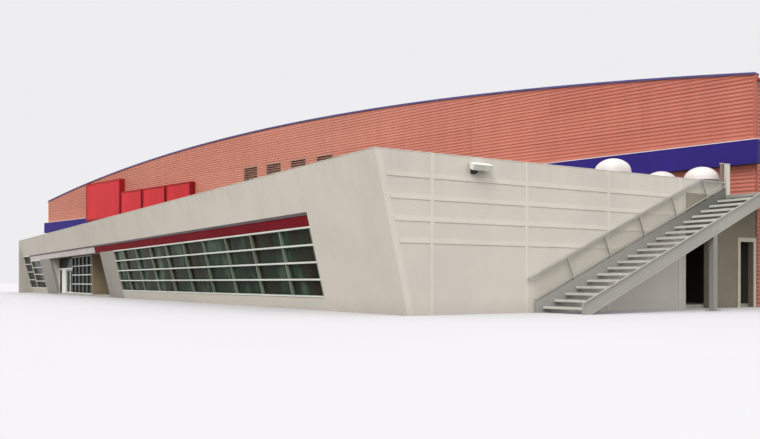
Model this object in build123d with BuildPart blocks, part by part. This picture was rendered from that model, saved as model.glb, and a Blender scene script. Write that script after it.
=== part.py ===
from build123d import *

import os
from math import asin, atan2, cos, hypot, radians, sin, sqrt, tan

# A supermarket building at half of its real size, in millimetres: a tall clad hall with arched gables,
# and in front of it a low plastered shop volume with a wedge-shaped plan and a facade that leans outwards.
# +Z is up, +X runs along the hall's front gable, +Y goes back, and the origin is under the middle.

# Hall
hall_width = 37200
hall_depth = 24000
hall_wall = 150
hall_eave = 5050
hall_crown = 6290
crown_shift = 1220
roof_drop = 60
roof_thick = 120
floor_thick = 75
coping_height = 50
coping_overhang = 40
band_bottom = 3200
band_height = 530
band_depth = 190
band_overhang = 110
trim_width = 90
louvre_count = 4
louvre_first = 14650
louvre_pitch = 1435
louvre_width = 925
louvre_height = 600
louvre_sill = 4400
louvre_slats = 6
louvre_slat_thick = 14
louvre_slat_margin = 8
sign_left = 5000
sign_high_width = 3400
sign_low_width = 6000
sign_bottom = 3560
sign_low_top = 4740
sign_high_top = 5380
sign_depth = 280
sign_low_boxes = 3
sign_gap = 140
sign_rim = 70
sign_recess = 30
passage_width = 6000

# Low front volume, wedge-shaped between its side wall and its depth at the hall's left side
lean = radians(13.4)
side_length = 9370
left_end_depth = 900
front_wall = 125
front_top = 2720
front_roof_top = 2430
front_roof_thick = 125

# Shopfront opening, heights and distances from the near corner along the facade
glass_sill = 250
glass_head = 1630
fascia_top = 1895
fascia_thick = 40
fascia_recess = 15
fascia_past_porch = 700
shop_right = 2800
shop_bay = 1520
shop_end_bay = 1110
shop_rows = 4
bar_width = 44
bar_depth = 70
glass_thick = 12

# Entrance and the bays beyond it, with widths that follow one another up to the facade's far end
porch_pier_width = 1920
porch_width = 3060
screen_width = 3710
doorway_width = 1420
panel_width = 800
side_door_width = 450
end_panel_width = 100
far_pier_width = 2380
far_bay_width = 2580
last_bay_width = 2090
porch_depth = 1250
porch_wall = 100
soffit_thick = 60
screen_front = 60
screen_depth = 40
screen_rows = 4
screen_bay = 700
door_head = 1110
head_height = 70
head_depth = 50

# Sliding leaves of the entrance and the rail that carries them
leaf_height = 1020
leaf_depth = 25
leaf_border = 45
leaf_running = 6
leaf_lap = 25
leaf_glass = 8
leaf_travel = 550
rail_height = 15
rail_depth = 16
hanger_seat = 0.3
hanger_width = 60
hanger_plate = 5
hanger_hook = 15

# Side wall: doorways, parapet end and posts start at these distances before the hall's corner
opening_head = 1450
wide_doorway_start = 2390
wide_doorway_width = 750
service_doorway_start = 570
service_doorway_width = 470
parapet_end_start = 1340
low_post_start = 1340
low_post_width = 220
high_post_start = 1080
high_post_width = 170
gate_post_top = 3125
gate_post_depth = 60

# Raised grid of the side wall, and its lamp
rib_width = 75
rib_depth = 8
rib_first = 450
rib_pitch = 2100
band_first = 1205
band_pitch = 364
band_count = 4
door_frame_width = 90
door_frame_depth = 15
lamp_centre = 1460
lamp_width = 420
lamp_height = 150
lamp_reach = 170
lamp_top = 2630
lamp_slope = 50
lamp_lip = 38
lamp_bracket = 42
lamp_bracket_width = 140

# Stair along the side wall; its top and its column start at these distances before the hall's corner
stair_top_start = 1170
landing_past_corner = 250
column_start = 3200
stair_gap = 30
stair_width = 1200
risers = 20
going = 278
tread_depth = 230
tread_lip = 48
tread_back_lip = 25
tread_plate = 6
landing_thick = 70
landing_plate = 12
landing_beam = 40
stringer_thick = 40
stringer_web = 10
stringer_flange = 12
stringer_depth = 255
stringer_above = 140
stringer_lead = 150
column_size = 170
guard_height = 470
guard_post = 22
guard_rail = 34
guard_low_rail = 20
guard_low_gap = 40
guard_inset = 6
guard_post_pitch = 975
guard_last_post = 600
guard_top = 2720
mesh_thick = 6

# Rooflight domes, each by its distances from the side wall's face and before the hall's corner
dome_radius = 370
dome_rise = 270
dome_fullness = 0.55
dome_lip = 20
kerb_height = 400
dome_places = ((730, 3770), (1550, 1300), (570, 1140))

os.makedirs("parts", exist_ok=True)

# The facade is turned by the skew from the hall's gable, so that its far end meets the hall's left side
skew = asin(side_length / hypot(hall_width, left_end_depth)) - atan2(left_end_depth, hall_width)
front_length = hall_width * cos(skew) - left_end_depth * sin(skew)


def out(height):
    """How far the leaning facade stands out at a height, as a place along the inward axis."""
    return -height * tan(lean)


# Distances along the facade from the near corner, worked back from the far end
last_bay = front_length - last_bay_width
pier_left = last_bay - far_bay_width
entrance_left = pier_left - far_pier_width
side_door_left = entrance_left - end_panel_width
panel_left = side_door_left - side_door_width
door_left = panel_left - panel_width
door_right = door_left - doorway_width
porch_left = door_right - screen_width
porch_right = porch_left - porch_width
shop_left = porch_right - porch_pier_width

# Distances along the side wall from the near corner, worked back from the hall's corner
opening_1 = (side_length - wide_doorway_start, side_length - wide_doorway_start + wide_doorway_width)
opening_2 = (
    side_length - service_doorway_start,
    side_length - service_doorway_start + service_doorway_width,
)
parapet_end = side_length - parapet_end_start
gate_posts = [
    (side_length - start, side_length - start + width)
    for start, width in ((low_post_start, low_post_width), (high_post_start, high_post_width))
]
stair_top = side_length - stair_top_start
landing_end = side_length + landing_past_corner
column_near = side_length - column_start

# Reach of the whole building from the hall's right front corner, which sets the place of that corner
stair_outer = stair_gap + stair_width
front_reach_left = (side_length - out(front_top)) * sin(skew) + front_length * cos(skew)
reach_left = max(hall_width + band_overhang, front_reach_left)
reach_right = stair_outer * cos(skew) + (landing_end - side_length) * sin(skew)
reach_front = (side_length - out(front_top)) * cos(skew)
reach_back = hall_depth + band_depth
hall_right = (reach_left - reach_right) / 2
hall_front = (reach_front - reach_back) / 2
hall_middle = hall_right - hall_width / 2
half_width = hall_width / 2

along = Vector(cos(skew), -sin(skew), 0)
inward = Vector(sin(skew), cos(skew), 0)
corner = Vector(hall_right, hall_front, 0) - inward * side_length
hall_face = Plane(origin=(hall_middle, hall_front, 0), x_dir=(1, 0, 0), z_dir=(0, -1, 0))
hall_cut = Plane(origin=(hall_right, hall_front, 0), x_dir=(1, 0, 0), z_dir=(0, -1, 0))

# The arch's crown is shifted from the hall's middle, so hall_eave is the mean height of the two eaves
arch_rise = hall_crown - hall_eave
arch_radius = (half_width**2 + arch_rise**2) / (2 * arch_rise)


def arch(place, drop=0.0):
    """Height of the gable's arched edge at a place across the hall, less a drop."""
    return hall_crown - arch_radius + sqrt(arch_radius**2 - (place - crown_shift)**2) - drop


def arched_edge(drop=0.0):
    """Draws the arched edge, less a drop, and gives its left and right ends."""
    left, right = (-half_width, arch(-half_width, drop)), (half_width, arch(half_width, drop))
    ThreePointArc(left, (crown_shift, arch(crown_shift, drop)), right)
    return left, right


def arched_shape(low):
    """Draws the gable's outline from its arched edge down to a height."""
    left, right = arched_edge()
    Polyline(right, (half_width, low), (-half_width, low), left)


def arched_strip(high_drop, low_drop):
    """Draws the outline of a strip along the arched edge, between two drops below it."""
    for high_end, low_end in zip(arched_edge(high_drop), arched_edge(low_drop)):
        Line(high_end, low_end)


def section(distance):
    """Upright plane across the facade, at a distance to the left of the near corner: inward, then up."""
    return Plane(origin=corner - along * distance, x_dir=inward, z_dir=along)


def plan(height):
    """Level plane with its axes along the facade and inwards from the near corner."""
    return Plane(origin=corner + Vector(0, 0, height), x_dir=along, z_dir=(0, 0, 1))


def prism(plane, points, depth, mode=Mode.ADD):
    """Extrudes the outline with these corners off its plane."""
    with BuildSketch(plane) as outline:
        with BuildLine():
            Polyline(*points, close=True)
        make_face()
    extrude(outline.sketch, amount=depth, mode=mode)


def leaning(right, left, bottom, top, behind=0.0, thick=front_wall, mode=Mode.ADD):
    """A slab of the leaning facade between two distances and two heights, behind the outer face."""
    near, far = behind, behind + thick
    corners = [
        (out(bottom) + near, bottom),
        (out(bottom) + far, bottom),
        (out(top) + far, top),
        (out(top) + near, top),
    ]
    prism(section(left), corners, left - right, mode)


def upright(right, left, front, back, bottom, top, mode=Mode.ADD):
    """A box set square to the facade, between distances along it and places inwards."""
    corners = [(front, bottom), (back, bottom), (back, top), (front, top)]
    prism(section(left), corners, left - right, mode)


def across(left, right, bottom, top, depth, mode=Mode.ADD):
    """A box set square to the hall's gable: its outline lies on the gable's face, depth goes back."""
    corners = [(left, bottom), (right, bottom), (right, top), (left, top)]
    prism(hall_face, corners, -depth, mode)


def from_right(distance):
    """Place across the hall of a distance from its right corner."""
    return half_width - distance


def save(piece, name):
    piece.part.label = name
    export_step(piece.part, f"parts/{name}.step")


# Hall: gables, side walls, floor and vaulted roof
leaf_meeting = (door_right + door_left) / 2
passage_middle = from_right(leaf_meeting / cos(skew))
passage_sides = (passage_middle - passage_width / 2, passage_middle + passage_width / 2)

with BuildPart() as hall_front_gable:
    with BuildSketch(hall_face):
        with BuildLine():
            arched_shape(glass_head)
        make_face()
    extrude(amount=-hall_wall)
    for number in range(louvre_count):
        middle = from_right(louvre_first + number * louvre_pitch)
        half = louvre_width / 2
        across(
            middle - half, middle + half, louvre_sill, louvre_sill + louvre_height, hall_wall, Mode.SUBTRACT
        )
save(hall_front_gable, "hall_front_gable")

with BuildPart() as hall_front_base:
    across(-half_width, passage_sides[0], 0, glass_head, hall_wall)
    across(passage_sides[1], half_width, 0, glass_head, hall_wall)
save(hall_front_base, "hall_front_base")

with BuildPart() as hall_rear_wall:
    with BuildSketch(hall_face.offset(-(hall_depth - hall_wall))):
        with BuildLine():
            arched_shape(0)
        make_face()
    extrude(amount=-hall_wall)
save(hall_rear_wall, "hall_rear_wall")

side_wall_depth = hall_depth - 2 * hall_wall
under_roof = roof_drop + roof_thick
for name, side in (("hall_left_wall", -1), ("hall_right_wall", 1)):
    outer, inner = side * half_width, side * (half_width - hall_wall)
    with BuildPart() as hall_side_wall:
        prism(
            hall_face.offset(-hall_wall),
            [(outer, 0), (inner, 0), (inner, arch(inner, under_roof)), (outer, arch(outer, under_roof))],
            -side_wall_depth,
        )
    save(hall_side_wall, name)

with BuildPart() as hall_roof:
    with BuildSketch(hall_face.offset(-hall_wall)):
        with BuildLine():
            arched_strip(roof_drop, under_roof)
        make_face()
    extrude(amount=-side_wall_depth)
save(hall_roof, "hall_roof")

with BuildPart() as hall_floor:
    prism(
        hall_face.offset(-hall_wall),
        [
            (-half_width + hall_wall, 0),
            (half_width - hall_wall, 0),
            (half_width - hall_wall, floor_thick),
            (-half_width + hall_wall, floor_thick),
        ],
        -side_wall_depth,
    )
    across(*passage_sides, 0, floor_thick, hall_wall)
save(hall_floor, "hall_floor")

with BuildPart() as gable_copings:
    for face_place in (-coping_overhang, hall_depth - hall_wall - coping_overhang):
        with BuildSketch(hall_face.offset(-face_place)):
            with BuildLine():
                arched_strip(-coping_height, 0)
            make_face()
        extrude(amount=-(hall_wall + 2 * coping_overhang))
save(gable_copings, "gable_copings")

with BuildPart() as blue_band:
    band_top = band_bottom + band_height
    band_end = half_width + band_overhang
    band_corners = [
        (-band_end, band_bottom),
        (band_end, band_bottom),
        (band_end, band_top),
        (-band_end, band_top),
    ]
    prism(hall_face, band_corners, band_depth)
    prism(hall_face.offset(-hall_depth), band_corners, -band_depth)
save(blue_band, "blue_band")

with BuildPart() as gable_corner_trim:
    trim_top = arch(-half_width)
    across(-half_width - trim_width, -half_width, band_bottom + band_height, trim_top, hall_wall)
save(gable_corner_trim, "gable_corner_trim")

with BuildPart() as gable_louvres:
    for number in range(louvre_count):
        middle = from_right(louvre_first + number * louvre_pitch)
        half = louvre_width / 2
        inner_half = half - bar_width
        louvre_top = louvre_sill + louvre_height
        across(middle - half, middle + half, louvre_sill, louvre_top, hall_wall)
        across(
            middle - inner_half,
            middle + inner_half,
            louvre_sill + bar_width,
            louvre_top - bar_width,
            hall_wall,
            Mode.SUBTRACT,
        )
        slat_pitch = (louvre_height - 2 * bar_width) / louvre_slats
        for slat in range(louvre_slats):
            low = louvre_sill + bar_width + slat * slat_pitch + louvre_slat_margin
            high = low + slat_pitch - 2 * louvre_slat_margin
            slat_plane = Plane(
                origin=(hall_middle + middle - inner_half, hall_front, 0), x_dir=(0, 1, 0), z_dir=(1, 0, 0)
            )
            prism(
                slat_plane,
                [
                    (louvre_slat_thick, low),
                    (hall_wall - louvre_slat_thick, high - louvre_slat_thick),
                    (hall_wall - louvre_slat_thick, high),
                    (louvre_slat_thick, low + louvre_slat_thick),
                ],
                2 * inner_half,
            )
save(gable_louvres, "gable_louvres")


def sign_box(left, right, top):
    """A box on the gable's face that hangs down before the band, sunk to the front inside its rim."""
    across(left, right, sign_bottom, top, -sign_depth)
    across(left, right, sign_bottom, band_top, -band_depth, Mode.SUBTRACT)
    with BuildSketch(hall_face.offset(sign_depth)) as face:
        with Locations(((left + right) / 2, (sign_bottom + top) / 2)):
            Rectangle(right - left - 2 * sign_rim, top - sign_bottom - 2 * sign_rim)
    extrude(face.sketch, amount=-sign_recess, mode=Mode.SUBTRACT)


low_box_pitch = sign_low_width / sign_low_boxes
with BuildPart() as sign_board:
    high_box_left = sign_left - half_width
    high_box_right = high_box_left + sign_high_width
    sign_box(high_box_left, high_box_right, sign_high_top)
    for number in range(sign_low_boxes):
        box_left = high_box_right + number * low_box_pitch + sign_gap
        sign_box(box_left, box_left + low_box_pitch - sign_gap, sign_low_top)
save(sign_board, "sign_board")

# Front volume: floor, roof, piers, lintel, fascia and the leaning wall above them
inside_left = front_length - front_wall

with BuildPart() as front_floor:
    prism(
        section(inside_left),
        [
            (front_wall, 0),
            (side_length, 0),
            (side_length, floor_thick),
            (front_wall + out(floor_thick), floor_thick),
        ],
        inside_left - front_wall,
    )
    upright(porch_right, entrance_left, 0, front_wall, 0, floor_thick)
    split(bisect_by=hall_cut, keep=Keep.TOP)
save(front_floor, "front_floor")

roof_bottom = front_roof_top - front_roof_thick
with BuildPart() as front_roof:
    prism(
        section(inside_left),
        [
            (out(roof_bottom) + front_wall, roof_bottom),
            (side_length, roof_bottom),
            (side_length, front_roof_top),
            (out(front_roof_top) + front_wall, front_roof_top),
        ],
        inside_left - front_wall,
    )
    split(bisect_by=hall_cut, keep=Keep.TOP)
save(front_roof, "front_roof")

with BuildPart() as front_piers:
    leaning(0, shop_right, 0, fascia_top)
    leaning(shop_left, porch_right, 0, glass_head)
    leaning(entrance_left, pier_left, 0, glass_head)
save(front_piers, "front_piers")

with BuildPart() as front_sills:
    leaning(shop_right, shop_left, 0, glass_sill)
    leaning(pier_left, inside_left, 0, glass_sill)
save(front_sills, "front_sills")

fascia_back = fascia_recess + fascia_thick
fascia_change = porch_right + fascia_past_porch
with BuildPart() as front_lintel:
    leaning(shop_right, last_bay, glass_head, fascia_top, fascia_back, front_wall - fascia_back)
save(front_lintel, "front_lintel")

with BuildPart() as red_fascia:
    leaning(shop_right, fascia_change, glass_head, fascia_top, fascia_recess, fascia_thick)
save(red_fascia, "red_fascia")

with BuildPart() as pale_fascia:
    leaning(fascia_change, last_bay, glass_head, fascia_top, fascia_recess, fascia_thick)
save(pale_fascia, "pale_fascia")

with BuildPart() as front_upper_wall:
    leaning(0, front_length, fascia_top, front_top)
save(front_upper_wall, "front_upper_wall")

with BuildPart() as left_end_wall:
    prism(
        section(front_length),
        [
            (out(front_top), 0),
            (side_length, 0),
            (side_length, front_top),
            (out(front_top) + front_wall, front_top),
            (out(fascia_top) + front_wall, fascia_top),
            (out(fascia_top), fascia_top),
            (out(front_top), front_top),
        ],
        front_wall,
    )
    split(bisect_by=hall_cut, keep=Keep.TOP)
save(left_end_wall, "left_end_wall")


# Glazing: each lattice of white bars has a sheet of glass behind it
def leaning_lattice(right, left, bottom, top, uprights, rows):
    """Bars of the leaning glazing: a border, uprights at these distances and level bars between rows."""
    for place in [right, *uprights, left - bar_width]:
        leaning(place, place + bar_width, bottom, top, 0, bar_depth)
    for row in range(rows + 1):
        low = bottom + row * (top - bottom - bar_width) / rows
        leaning(right, left, low, low + bar_width, 0, bar_depth)


shop_uprights = []
place = shop_left - shop_end_bay
while place > shop_right + shop_bay / 2:
    shop_uprights.append(place - bar_width)
    place -= shop_bay

with BuildPart() as shopfront_frame:
    leaning_lattice(shop_right, shop_left, glass_sill, glass_head, shop_uprights, shop_rows)
save(shopfront_frame, "shopfront_frame")

with BuildPart() as shopfront_glass:
    leaning(shop_right, shop_left, glass_sill, glass_head, bar_depth, glass_thick)
save(shopfront_glass, "shopfront_glass")

with BuildPart() as far_bay_frames:
    leaning_lattice(pier_left, last_bay, glass_sill, glass_head, [], shop_rows)
    leaning_lattice(last_bay, inside_left, glass_sill, fascia_top, [], shop_rows)
save(far_bay_frames, "far_bay_frames")

with BuildPart() as far_bay_glass:
    leaning(pier_left, last_bay, glass_sill, glass_head, bar_depth, glass_thick)
    leaning(last_bay, inside_left, glass_sill, fascia_top, bar_depth, glass_thick)
save(far_bay_glass, "far_bay_glass")

# Entrance: porch niche, soffit, upright screen, and the rail with its two sliding leaves
porch_back = porch_depth + porch_wall
screen_back = screen_front + screen_depth
head_back = screen_front + head_depth
head_top = door_head + head_height

with BuildPart() as porch_right_wall:
    prism(
        section(porch_right),
        [
            (front_wall + out(floor_thick), floor_thick),
            (porch_back, floor_thick),
            (porch_back, glass_head),
            (front_wall + out(glass_head), glass_head),
        ],
        porch_wall,
    )
save(porch_right_wall, "porch_right_wall")

with BuildPart() as porch_back_wall:
    upright(porch_right, porch_left, porch_depth, porch_back, floor_thick, glass_head)
save(porch_back_wall, "porch_back_wall")

with BuildPart() as porch_left_wall:
    upright(porch_left, porch_left + porch_wall, screen_front, porch_back, floor_thick, glass_head)
save(porch_left_wall, "porch_left_wall")

soffit_top = glass_head + soffit_thick
with BuildPart() as entrance_soffit:
    prism(
        section(entrance_left),
        [
            (front_wall + out(glass_head), glass_head),
            (porch_back, glass_head),
            (porch_back, soffit_top),
            (front_wall + out(soffit_top), soffit_top),
        ],
        entrance_left - porch_right + porch_wall,
    )
save(entrance_soffit, "entrance_soffit")

screen_right = porch_left + porch_wall
with BuildPart() as entrance_screen:
    bays = max(1, round((door_right - screen_right) / screen_bay))
    for number in range(bays + 1):
        place = screen_right + number * (door_right - screen_right - bar_width) / bays
        upright(place, place + bar_width, screen_front, screen_back, floor_thick, glass_head)
    for row in range(screen_rows + 1):
        low = floor_thick + row * (glass_head - floor_thick - bar_width) / screen_rows
        upright(screen_right, door_right, screen_front, screen_back, low, low + bar_width)
save(entrance_screen, "entrance_screen")

with BuildPart() as entrance_head:
    upright(door_right, entrance_left, screen_front, head_back, door_head, head_top)
save(entrance_head, "entrance_head")

with BuildPart() as entrance_panels:
    upright(door_left, panel_left, screen_front, head_back, floor_thick, door_head)
    upright(side_door_left, entrance_left, screen_front, head_back, floor_thick, door_head)
save(entrance_panels, "entrance_panels")

with BuildPart() as entrance_glass:
    upright(screen_right, door_right, screen_back, screen_back + leaf_glass, floor_thick, glass_head)
    upright(door_right, entrance_left, screen_front, screen_front + leaf_glass, head_top, glass_head)
    upright(panel_left, side_door_left, screen_front, screen_front + leaf_glass, floor_thick, door_head)
save(entrance_glass, "entrance_glass")

leaf_front = head_back + leaf_running
leaf_back = leaf_front + leaf_depth
leaf_bottom = floor_thick + leaf_running
leaf_top = leaf_bottom + leaf_height
rail_bottom = leaf_top + 2 * leaf_running
rail_top = rail_bottom + rail_height
hook_bottom = rail_top + hanger_seat
leaf_spans = {
    "right": (door_right - leaf_lap, leaf_meeting - leaf_running / 2),
    "left": (leaf_meeting + leaf_running / 2, door_left + leaf_lap),
}

with BuildPart() as door_rail:
    upright(
        door_right - leaf_lap - leaf_travel,
        door_left + leaf_lap + leaf_travel,
        head_back,
        head_back + rail_depth,
        rail_bottom,
        rail_top,
    )
save(door_rail, "door_rail")

plate_front = head_back + rail_depth + leaf_running
for side, (leaf_right, leaf_left) in leaf_spans.items():
    inner_right, inner_left = leaf_right + leaf_border, leaf_left - leaf_border
    inner_bottom, inner_top = leaf_bottom + leaf_border, leaf_top - leaf_border
    with BuildPart() as door_leaf:
        upright(leaf_right, leaf_left, leaf_front, leaf_back, leaf_bottom, leaf_top)
        upright(
            inner_right, inner_left, leaf_front, leaf_back, inner_bottom, inner_top, Mode.SUBTRACT
        )
        for place in (inner_right, inner_left - hanger_width):
            edge = place + hanger_width
            hook_top = hook_bottom + hanger_hook
            upright(place, edge, plate_front, plate_front + hanger_plate, leaf_top, hook_top)
            upright(place, edge, head_back + leaf_running, plate_front, hook_bottom, hook_top)
    save(door_leaf, f"door_leaf_{side}")
    glass_front = leaf_front + (leaf_depth - leaf_glass) / 2
    with BuildPart() as door_glass:
        upright(inner_right, inner_left, glass_front, glass_front + leaf_glass, inner_bottom, inner_top)
    save(door_glass, f"door_glass_{side}")

# Side wall: split beside and over its doorways, with a raised grid, a lamp and posts at the roof access
with BuildPart() as side_wall:
    prism(
        section(front_wall),
        [
            (front_wall, 0),
            (opening_1[0], 0),
            (opening_1[0], front_top),
            (out(front_top) + front_wall, front_top),
        ],
        front_wall,
    )
save(side_wall, "side_wall")

with BuildPart() as side_wall_piers:
    upright(0, front_wall, opening_1[1], opening_2[0], 0, opening_head)
    upright(0, front_wall, opening_2[1], side_length, 0, opening_head)
    split(bisect_by=hall_cut, keep=Keep.TOP)
save(side_wall_piers, "side_wall_piers")

with BuildPart() as side_wall_over_doors:
    upright(0, front_wall, opening_1[0], side_length, opening_head, front_roof_top)
    split(bisect_by=hall_cut, keep=Keep.TOP)
save(side_wall_over_doors, "side_wall_over_doors")

with BuildPart() as side_parapet:
    upright(0, front_wall, opening_1[0], parapet_end, front_roof_top, front_top)
save(side_parapet, "side_parapet")

with BuildPart() as roof_access_posts:
    for near, far in gate_posts:
        upright(0, gate_post_depth, near, far, front_roof_top, gate_post_top)
save(roof_access_posts, "roof_access_posts")

rib_count = int((opening_1[0] - rib_first - rib_width) / rib_pitch) + 1
last_rib = rib_first + (rib_count - 1) * rib_pitch + rib_width
with BuildPart() as side_wall_grid:
    for number in range(rib_count):
        near = rib_first + number * rib_pitch
        upright(-rib_depth, 0, near, near + rib_width, 0, front_top)
    for number in range(band_count):
        low = band_first + number * band_pitch
        prism(
            section(0),
            [
                (out(low) + front_wall, low),
                (last_rib, low),
                (last_rib, low + rib_width),
                (out(low + rib_width) + front_wall, low + rib_width),
            ],
            rib_depth,
        )
save(side_wall_grid, "side_wall_grid")

with BuildPart() as service_door_frame:
    near, far = opening_2
    upright(
        -door_frame_depth,
        0,
        near - door_frame_width,
        far + door_frame_width,
        0,
        opening_head + door_frame_width,
    )
    upright(-door_frame_depth, 0, near, far, 0, opening_head, Mode.SUBTRACT)
save(service_door_frame, "service_door_frame")

with BuildPart() as wall_lamp:
    lamp_plane = Plane(
        origin=corner + inward * (lamp_centre + lamp_width / 2), x_dir=along, z_dir=-inward
    )
    lamp_low = lamp_top - lamp_height
    prism(
        lamp_plane,
        [
            (lamp_bracket, lamp_top),
            (lamp_reach, lamp_top - lamp_slope),
            (lamp_reach - lamp_lip, lamp_low),
            (lamp_bracket, lamp_low + lamp_lip),
        ],
        lamp_width,
    )
    upright(
        -lamp_bracket,
        0,
        lamp_centre - lamp_bracket_width / 2,
        lamp_centre + lamp_bracket_width / 2,
        lamp_low + lamp_slope,
        lamp_top,
    )
save(wall_lamp, "wall_lamp")

# Stair: stringers, treads, landing, columns, and the guard with its mesh beside the wall
rise = front_roof_top / risers
slope = rise / going
stair_foot = stair_top - (risers - 1) * going
pitch = Vector(going, rise).normalized()
upward = Vector(-pitch.Y, pitch.X)


def stringer_edge(place):
    """Height of the stringers' upper edge, a little above the nosings."""
    return (place - stair_foot) * slope + rise + stringer_above


def stringer_under(place):
    return stringer_edge(place) - stringer_depth / pitch.X


stringer_start = stair_foot - stringer_lead
under_start = stair_foot + (stringer_depth / pitch.X - rise - stringer_above) / slope

stringer_outline = [
    (stringer_start, 0),
    (under_start, 0),
    (stair_top, stringer_under(stair_top)),
    (stair_top, stringer_edge(stair_top)),
    (stringer_start, stringer_edge(stringer_start)),
]
hollow = stringer_thick - stringer_web

with BuildPart() as stair_stringers:
    for near_side, hollow_side in (
        (stair_gap, stair_gap),
        (stair_outer - stringer_thick, stair_outer - hollow),
    ):
        prism(section(-near_side), stringer_outline, stringer_thick)
        with BuildSketch(section(-hollow_side)) as channel:
            with BuildLine():
                Polyline(*stringer_outline, close=True)
            make_face()
            offset(amount=-stringer_flange, kind=Kind.INTERSECTION, mode=Mode.REPLACE)
        extrude(channel.sketch, amount=hollow, mode=Mode.SUBTRACT)
save(stair_stringers, "stair_stringers")

tread_right, tread_left = stringer_thick - stair_outer, -(stair_gap + stringer_thick)
with BuildPart() as stair_treads:
    for number in range(1, risers):
        near = stair_foot + (number - 1) * going
        far = near + tread_depth
        level = number * rise
        under, low, back_low = level - tread_plate, level - tread_lip, level - tread_back_lip
        prism(
            section(tread_left),
            [
                (near, level),
                (near, low),
                (near + tread_plate, low),
                (near + tread_plate, under),
                (far - tread_plate, under),
                (far - tread_plate, back_low),
                (far, back_low),
                (far, level),
            ],
            tread_left - tread_right,
        )
save(stair_treads, "stair_treads")

landing_low = front_roof_top - landing_thick
with BuildPart() as stair_landing:
    upright(-stair_outer, 0, stair_top, landing_end, landing_low, front_roof_top)
    upright(
        landing_beam - stair_outer,
        -landing_beam,
        stair_top + landing_beam,
        landing_end - landing_beam,
        landing_low,
        front_roof_top - landing_plate,
        Mode.SUBTRACT,
    )
save(stair_landing, "stair_landing")

column_right, column_left = -stair_outer, column_size - stair_outer
with BuildPart() as stair_columns:
    prism(
        section(column_left),
        [
            (column_near, 0),
            (column_near + column_size, 0),
            (column_near + column_size, stringer_under(column_near + column_size)),
            (column_near, stringer_under(column_near)),
        ],
        column_size,
    )
    upright(
        column_right,
        column_left,
        landing_end - column_size,
        landing_end,
        0,
        landing_low,
    )
save(stair_columns, "stair_columns")


def along_pitch(distance, height):
    """Point at a distance down the pitch from the stair's top and a height square to the stringer."""
    start = Vector(stair_top, stringer_edge(stair_top))
    point = start - pitch * distance + upward * height
    return (point.X, point.Y)


flight = (stair_top - stringer_start) / pitch.X
rail_left = -(stair_gap + guard_inset)
level_start = stair_top - (stringer_edge(stair_top) + guard_height / pitch.X - guard_top) / slope
top_under = guard_height - guard_rail
level_under = guard_top - guard_rail
bend = stair_top - (stringer_edge(stair_top) + top_under / pitch.X - level_under) / slope

with BuildPart() as stair_guard:
    prism(
        section(rail_left),
        [
            along_pitch(flight, top_under),
            (bend, level_under),
            (stair_top, level_under),
            (stair_top, guard_top),
            (level_start, guard_top),
            along_pitch(flight, guard_height),
        ],
        guard_rail,
    )
    low_rail_top = guard_low_gap + guard_low_rail
    prism(
        section(rail_left - mesh_thick),
        [
            along_pitch(flight, guard_low_gap),
            (stair_top, stringer_edge(stair_top) + guard_low_gap / pitch.X),
            (stair_top, stringer_edge(stair_top) + low_rail_top / pitch.X),
            along_pitch(flight, low_rail_top),
        ],
        guard_rail - mesh_thick,
    )
    post_left = rail_left - (guard_rail - guard_post)
    prism(
        section(post_left),
        [
            (stair_top - guard_post, stringer_edge(stair_top - guard_post)),
            (stair_top, stringer_edge(stair_top)),
            (stair_top, guard_top - guard_rail / 2),
            (stair_top - guard_post, guard_top - guard_rail / 2),
        ],
        guard_post,
    )
    post_low = guard_last_post / pitch.X
    post_count = int((flight - post_low) * pitch.X / guard_post_pitch) + 1
    for number in range(post_count):
        distance = post_low + number * guard_post_pitch / pitch.X
        prism(
            section(post_left),
            [
                along_pitch(distance, 0),
                along_pitch(distance - guard_post, 0),
                along_pitch(distance - guard_post, guard_height - guard_rail / 2),
                along_pitch(distance, guard_height - guard_rail / 2),
            ],
            guard_post,
        )
save(stair_guard, "stair_guard")

with BuildPart() as stair_guard_mesh:
    prism(
        section(rail_left),
        [
            along_pitch(flight, 0),
            (stair_top, stringer_edge(stair_top)),
            (stair_top, level_under),
            (bend, level_under),
            along_pitch(flight, top_under),
        ],
        mesh_thick,
    )
save(stair_guard_mesh, "stair_guard_mesh")

# Rooflight domes on round kerbs
kerb_top = front_roof_top + kerb_height

with BuildPart() as dome_kerbs:
    for from_side, from_corner in dome_places:
        with BuildSketch(plan(front_roof_top)):
            with Locations((-from_side, side_length - from_corner)):
                Circle(dome_radius - dome_lip)
        extrude(amount=kerb_height)
save(dome_kerbs, "dome_kerbs")

dome_top = dome_lip + dome_rise
with BuildPart() as roof_domes:
    for from_side, from_corner in dome_places:
        ahead = inward * (side_length - from_corner)
        axis_point = corner - along * from_side + ahead + Vector(0, 0, kerb_top)
        half_section = Plane(origin=axis_point, x_dir=along, z_dir=-inward)
        with BuildSketch(half_section):
            with BuildLine():
                Polyline((0, dome_top), (0, 0), (dome_radius, 0), (dome_radius, dome_lip))
                Bezier(
                    (dome_radius, dome_lip),
                    (dome_radius, dome_lip + dome_fullness * dome_rise),
                    (dome_fullness * dome_radius, dome_top),
                    (0, dome_top),
                )
            make_face()
        revolve(axis=Axis(axis_point, (0, 0, 1)))
save(roof_domes, "roof_domes")
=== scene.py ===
import math

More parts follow.
